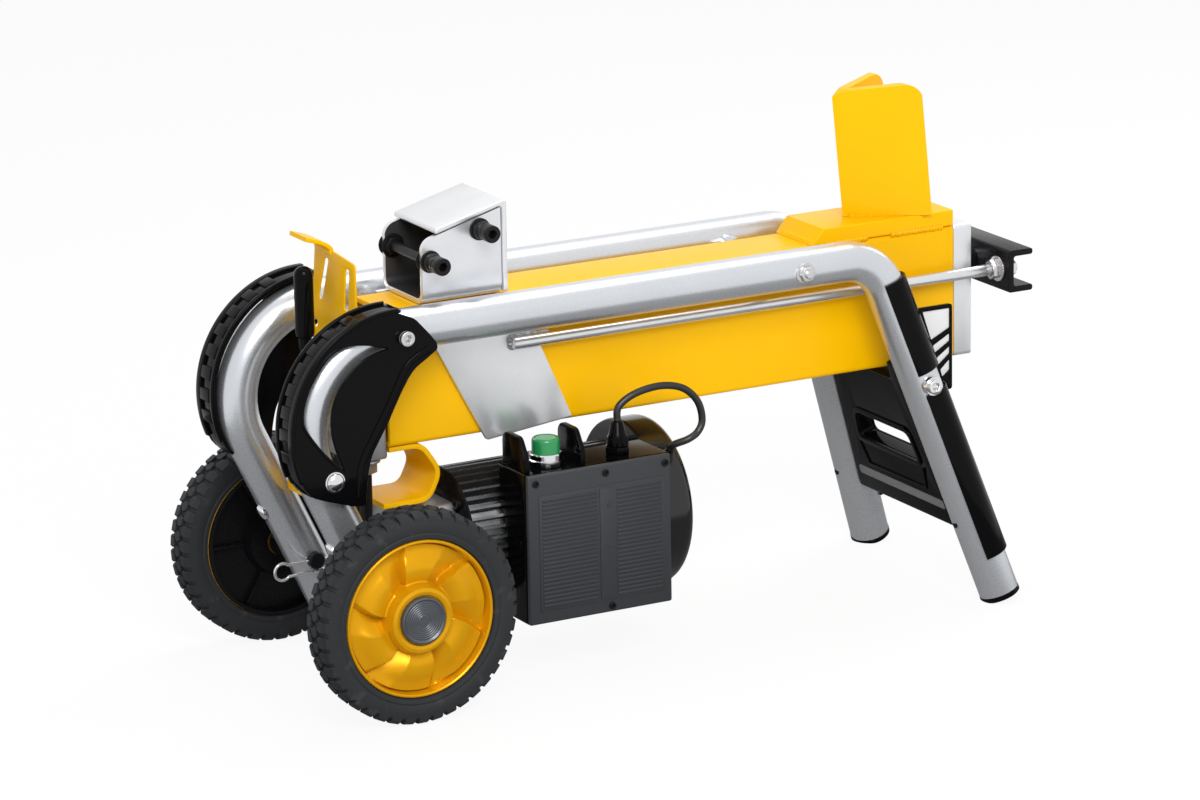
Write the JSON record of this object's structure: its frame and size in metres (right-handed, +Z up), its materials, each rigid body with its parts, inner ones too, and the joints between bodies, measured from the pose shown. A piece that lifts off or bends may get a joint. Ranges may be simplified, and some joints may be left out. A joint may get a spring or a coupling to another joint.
{
  "type": "log splitter",
  "caption": "Electric horizontal log splitter: a ram in a box beam draws a pusher along bent tube rails to a fixed wedge; wheels in front, legs and lift panel behind.",
  "frame": {"origin": "on the ground under the middle of the machine's box", "axes": "+X along the beam from the wheels to the wedge, +Y away from the switch box, +Z up"},
  "size_m": [0.805, 0.336, 0.489],
  "materials": {
    "yellow_paint": "gloss",
    "silver_paint": "metallic gloss",
    "zinc": "bright zinc",
    "dark_steel": "black oxide",
    "chrome": "polished",
    "black_paint": "satin",
    "black_plastic": "gloss",
    "anthracite": "fine texture",
    "lead_pvc": "satin",
    "tyre_rubber": "matte",
    "rim_yellow": "satin",
    "hub_grey": "brushed look",
    "button_green": "satin"
  },
  "bodies": {
    "frame": {"main_beam": "yellow_paint", "beam_end_plate": "zinc", "cylinder_barrel": "dark_steel", "wedge_saddle": "yellow_paint", "splitting_wedge": "yellow_paint", "near_rail": "silver_paint", "far_rail": "silver_paint", "near_foot_cap": "black_plastic", "far_foot_cap": "black_plastic", "near_front_rail_bolt": "zinc", "near_rear_rail_bolt": "zinc", "near_leg_bolt": "zinc", "far_front_rail_bolt": "zinc", "far_rear_rail_bolt": "zinc", "far_leg_bolt": "zinc", "near_front_guard": "black_plastic", "far_front_guard": "black_plastic", "near_leg_strip": "black_plastic", "far_leg_strip": "black_plastic", "rear_panel": "black_plastic", "near_axle": "zinc", "far_axle": "zinc", "near_axle_clip": "zinc", "far_axle_clip": "zinc", "valve_block": "zinc", "lever_pin": "zinc", "lever_guard": "yellow_paint", "motor_housing": "black_paint", "motor_flange": "black_paint", "fan_cover": "black_paint", "pump_body": "zinc", "support_bracket": "yellow_paint", "front_cross_plate": "yellow_paint", "pressure_pipe": "dark_steel", "switch_box": "anthracite", "switch_cover": "anthracite", "button_collar": "chrome", "cable_gland": "black_plastic", "motor_lead": "lead_pvc"},
    "ram": {"piston_rod": "chrome", "crosshead": "black_paint", "near_tie_rod": "zinc", "far_tie_rod": "zinc", "near_tie_nut": "zinc", "far_tie_nut": "zinc", "near_side_plate": "zinc", "far_side_plate": "zinc", "pusher_channel": "zinc", "pusher_plate": "zinc", "pusher_bolt_low": "dark_steel", "pusher_bolt_high": "dark_steel"},
    "near_wheel": {"near_tyre": "tyre_rubber", "near_rim": "rim_yellow", "near_hub_cap": "hub_grey"},
    "far_wheel": {"far_tyre": "tyre_rubber", "far_rim": "rim_yellow", "far_hub_cap": "hub_grey"},
    "lever": {"control_lever": "black_plastic"},
    "button": {"start_button": "button_green"},
    "rotor": {"motor_rotor": "dark_steel"}
  },
  "joints": [
    {"name": "ram_slide", "type": "slide", "parent": "frame", "child": "ram", "axis": [1, 0, 0], "range_m": [0, 0.25]},
    {"name": "near_wheel_spin", "type": "hinge", "parent": "frame", "child": "near_wheel", "pos_m": [-0.3045, -0.144, 0.098], "axis": [0, 1, 0], "continuous": true},
    {"name": "far_wheel_spin", "type": "hinge", "parent": "frame", "child": "far_wheel", "pos_m": [-0.3045, 0.144, 0.098], "axis": [0, 1, 0], "continuous": true},
    {"name": "lever_hinge", "type": "hinge", "parent": "frame", "child": "lever", "pos_m": [-0.2975, 0, 0.298], "axis": [0, 1, 0], "range_deg": [-14, 6], "stiffness_Nm_per_rad": 1.5},
    {"name": "button_press", "type": "slide", "parent": "frame", "child": "button", "axis": [0, 0, -1], "range_m": [0, 0.004], "stiffness_N_per_m": 400},
    {"name": "rotor_spin", "type": "hinge", "parent": "frame", "child": "rotor", "pos_m": [-0.1675, -0.008, 0.122], "axis": [1, 0, 0], "continuous": true}
  ]
}
